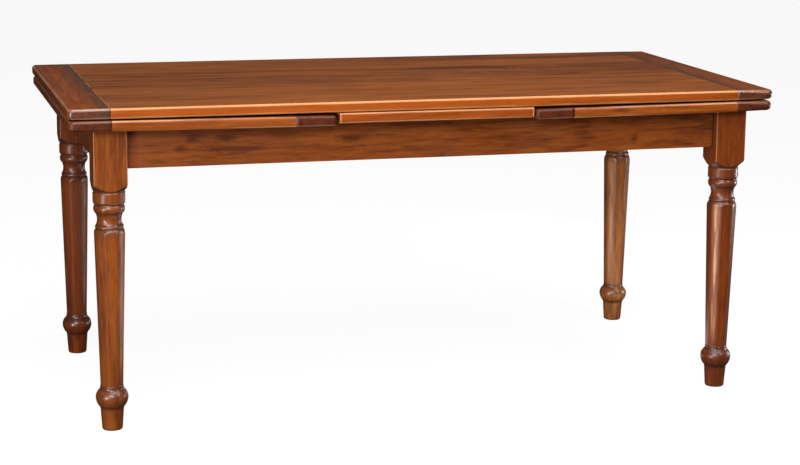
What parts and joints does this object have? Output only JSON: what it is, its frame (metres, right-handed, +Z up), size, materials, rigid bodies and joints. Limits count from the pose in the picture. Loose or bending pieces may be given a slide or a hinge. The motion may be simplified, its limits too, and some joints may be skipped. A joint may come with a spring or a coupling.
{
  "type": "extending dining table",
  "caption": "Wooden dining table with turned legs, a loose plank top and draw leaves at both ends that slide out on tapered bearers to lengthen it.",
  "frame": {"origin": "centre of the footprint on the floor, midway between the four feet", "axes": "+X along the table's length, towards the right end in the picture; +Y across it, from the front to the back; +Z up"},
  "size_m": [1.75, 0.84, 0.775],
  "materials": {
    "top_wood": "satin lacquer, reddish brown",
    "top_end_wood": "satin lacquer, darker brown",
    "leaf_wood": "satin lacquer, honey brown",
    "leaf_end_wood": "satin lacquer, darker brown",
    "centre_wood": "satin lacquer, honey brown",
    "leg_wood": "satin lacquer, brown with dark patina in the grooves",
    "apron_wood": "satin lacquer, orange brown",
    "bearer_wood": "planed, waxed",
    "dowel_wood": "plain beech",
    "screw_steel": "zinc plated",
    "felt": "green felt"
  },
  "bodies": {
    "frame": {"leg_front_left": "leg_wood", "leg_front_right": "leg_wood", "leg_back_right": "leg_wood", "leg_back_left": "leg_wood", "front_apron": "apron_wood", "back_apron": "apron_wood", "left_end_apron": "apron_wood", "right_end_apron": "apron_wood", "corner_block_front_left": "bearer_wood", "corner_block_front_right": "bearer_wood", "corner_block_back_right": "bearer_wood", "corner_block_back_left": "bearer_wood", "corner_block_screws": "screw_steel", "centre_rail": "bearer_wood", "centre_board": "centre_wood", "centre_board_screws": "screw_steel", "felt_pads": "felt"},
    "table_top": {"top_board_1": "top_wood", "top_board_2": "top_wood", "top_board_3": "top_wood", "top_board_4": "top_wood", "top_board_5": "top_wood", "top_board_6": "top_wood", "top_board_7": "top_wood", "left_top_end_board": "top_end_wood", "right_top_end_board": "top_end_wood", "top_guide_pegs": "dowel_wood"},
    "left_rest_dowels": {"left_rest_dowels": "dowel_wood"},
    "left_closing_pins": {"left_closing_stop_pins": "dowel_wood"},
    "left_leaf": {"left_leaf_board_1": "leaf_wood", "left_leaf_board_2": "leaf_wood", "left_leaf_board_3": "leaf_wood", "left_leaf_board_4": "leaf_wood", "left_leaf_board_5": "leaf_wood", "left_leaf_board_6": "leaf_wood", "left_leaf_board_7": "leaf_wood", "left_leaf_outer_board": "leaf_end_wood", "left_leaf_inner_board": "leaf_end_wood", "left_bearer_far": "bearer_wood", "left_bearer_near": "bearer_wood", "left_bearer_screws": "screw_steel", "left_opening_stop_pins": "dowel_wood"},
    "right_rest_dowels": {"right_rest_dowels": "dowel_wood"},
    "right_closing_pins": {"right_closing_stop_pins": "dowel_wood"},
    "right_leaf": {"right_leaf_board_1": "leaf_wood", "right_leaf_board_2": "leaf_wood", "right_leaf_board_3": "leaf_wood", "right_leaf_board_4": "leaf_wood", "right_leaf_board_5": "leaf_wood", "right_leaf_board_6": "leaf_wood", "right_leaf_board_7": "leaf_wood", "right_leaf_outer_board": "leaf_end_wood", "right_leaf_inner_board": "leaf_end_wood", "right_bearer_far": "bearer_wood", "right_bearer_near": "bearer_wood", "right_bearer_screws": "screw_steel", "right_opening_stop_pins": "dowel_wood"}
  },
  "joints": [
    {"name": "top_lift", "type": "slide", "parent": "frame", "child": "table_top", "axis": [0, 0, -1], "range_m": [-0.04, 0]},
    {"name": "left_leaf_rise", "type": "hinge", "parent": "frame", "child": "left_rest_dowels", "pos_m": [-0.784, 0, 0.66922], "axis": [0, 1, 0], "range_deg": [0, 2.14]},
    {"name": "left_leaf_draw", "type": "slide", "parent": "left_rest_dowels", "child": "left_closing_pins", "axis": [-1, 0, 0.007], "range_m": [0, 0.62952]},
    {"name": "left_leaf_level", "type": "hinge", "parent": "left_closing_pins", "child": "left_leaf", "pos_m": [-0.80154, 0, 0.7128], "axis": [0, -1, 0], "range_deg": [0, 2.54]},
    {"name": "right_leaf_rise", "type": "hinge", "parent": "frame", "child": "right_rest_dowels", "pos_m": [0.784, 0, 0.66922], "axis": [0, -1, 0], "range_deg": [0, 2.14]},
    {"name": "right_leaf_draw", "type": "slide", "parent": "right_rest_dowels", "child": "right_closing_pins", "axis": [1, 0, 0.007], "range_m": [0, 0.62952]},
    {"name": "right_leaf_level", "type": "hinge", "parent": "right_closing_pins", "child": "right_leaf", "pos_m": [0.80154, 0, 0.7128], "axis": [0, 1, 0], "range_deg": [0, 2.54]}
  ],
  "couplings": [
    {"joint": "left_leaf_level", "follows": "left_leaf_rise", "ratio": 1.1871},
    {"joint": "right_leaf_level", "follows": "right_leaf_rise", "ratio": 1.1871}
  ]
}
